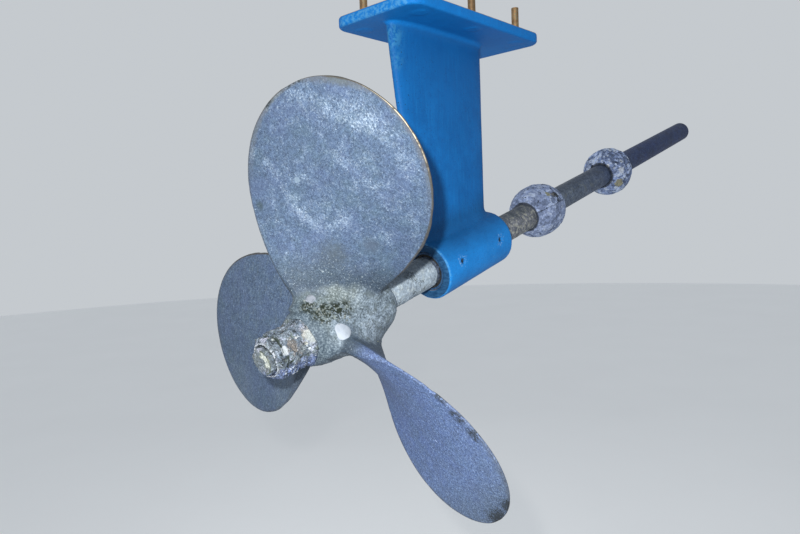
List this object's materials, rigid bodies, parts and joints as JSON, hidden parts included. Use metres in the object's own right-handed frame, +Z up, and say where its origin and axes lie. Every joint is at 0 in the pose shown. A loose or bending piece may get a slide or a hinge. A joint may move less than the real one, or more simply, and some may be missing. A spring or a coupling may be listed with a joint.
{
  "type": "ship propeller with shaft and strut",
  "caption": "Bladed ship propeller on a sloping shaft, carried by a blue hull strut with a palm, arm and bearing barrel, with collar anodes.",
  "frame": {"origin": "centre of the palm's upper face, where the strut bolts to the hull", "axes": "+X forward towards the bow, +Y to port, +Z up out of the palm's upper face; the shaft rises forward in the plane Y = 0"},
  "size_m": [1.5201, 0.6149, 0.7948],
  "materials": {
    "blue_antifouling": "brushed blue antifouling paint over cast bronze",
    "weathered_grey_coating": "dull blue-grey weathered coating over cast bronze",
    "dull_shaft_steel": "dull, stained",
    "bronze": "dull",
    "bearing_brass": "dull",
    "black_rubber": "matt",
    "corroded_zinc": "rough, pitted",
    "screw_steel": "dull"
  },
  "bodies": {
    "strut": {"strut_casting": "blue_antifouling", "bearing_shell": "bearing_brass", "bearing_liner": "black_rubber", "set_screw_aft": "screw_steel", "set_screw_fore": "screw_steel", "palm_bolt_1": "bronze", "palm_bolt_2": "bronze", "palm_bolt_3": "bronze", "palm_bolt_4": "bronze", "palm_bolt_5": "bronze", "palm_bolt_6": "bronze"},
    "rotor": {"shaft": "dull_shaft_steel", "propeller": "weathered_grey_coating", "propeller_key": "bronze", "jam_nut": "bronze", "propeller_nut": "bronze", "cotter_pin": "bronze", "anode_aft_upper": "corroded_zinc", "anode_aft_lower": "corroded_zinc", "anode_aft_screw_port": "screw_steel", "anode_aft_screw_starboard": "screw_steel", "anode_fore_upper": "corroded_zinc", "anode_fore_lower": "corroded_zinc", "anode_fore_screw_port": "screw_steel", "anode_fore_screw_starboard": "screw_steel"}
  },
  "joints": [
    {"name": "shaft_spin", "type": "hinge", "parent": "strut", "child": "rotor", "pos_m": [-0.066, 0, -0.4122], "axis": [0.9646, 0, 0.2639], "continuous": true}
  ]
}
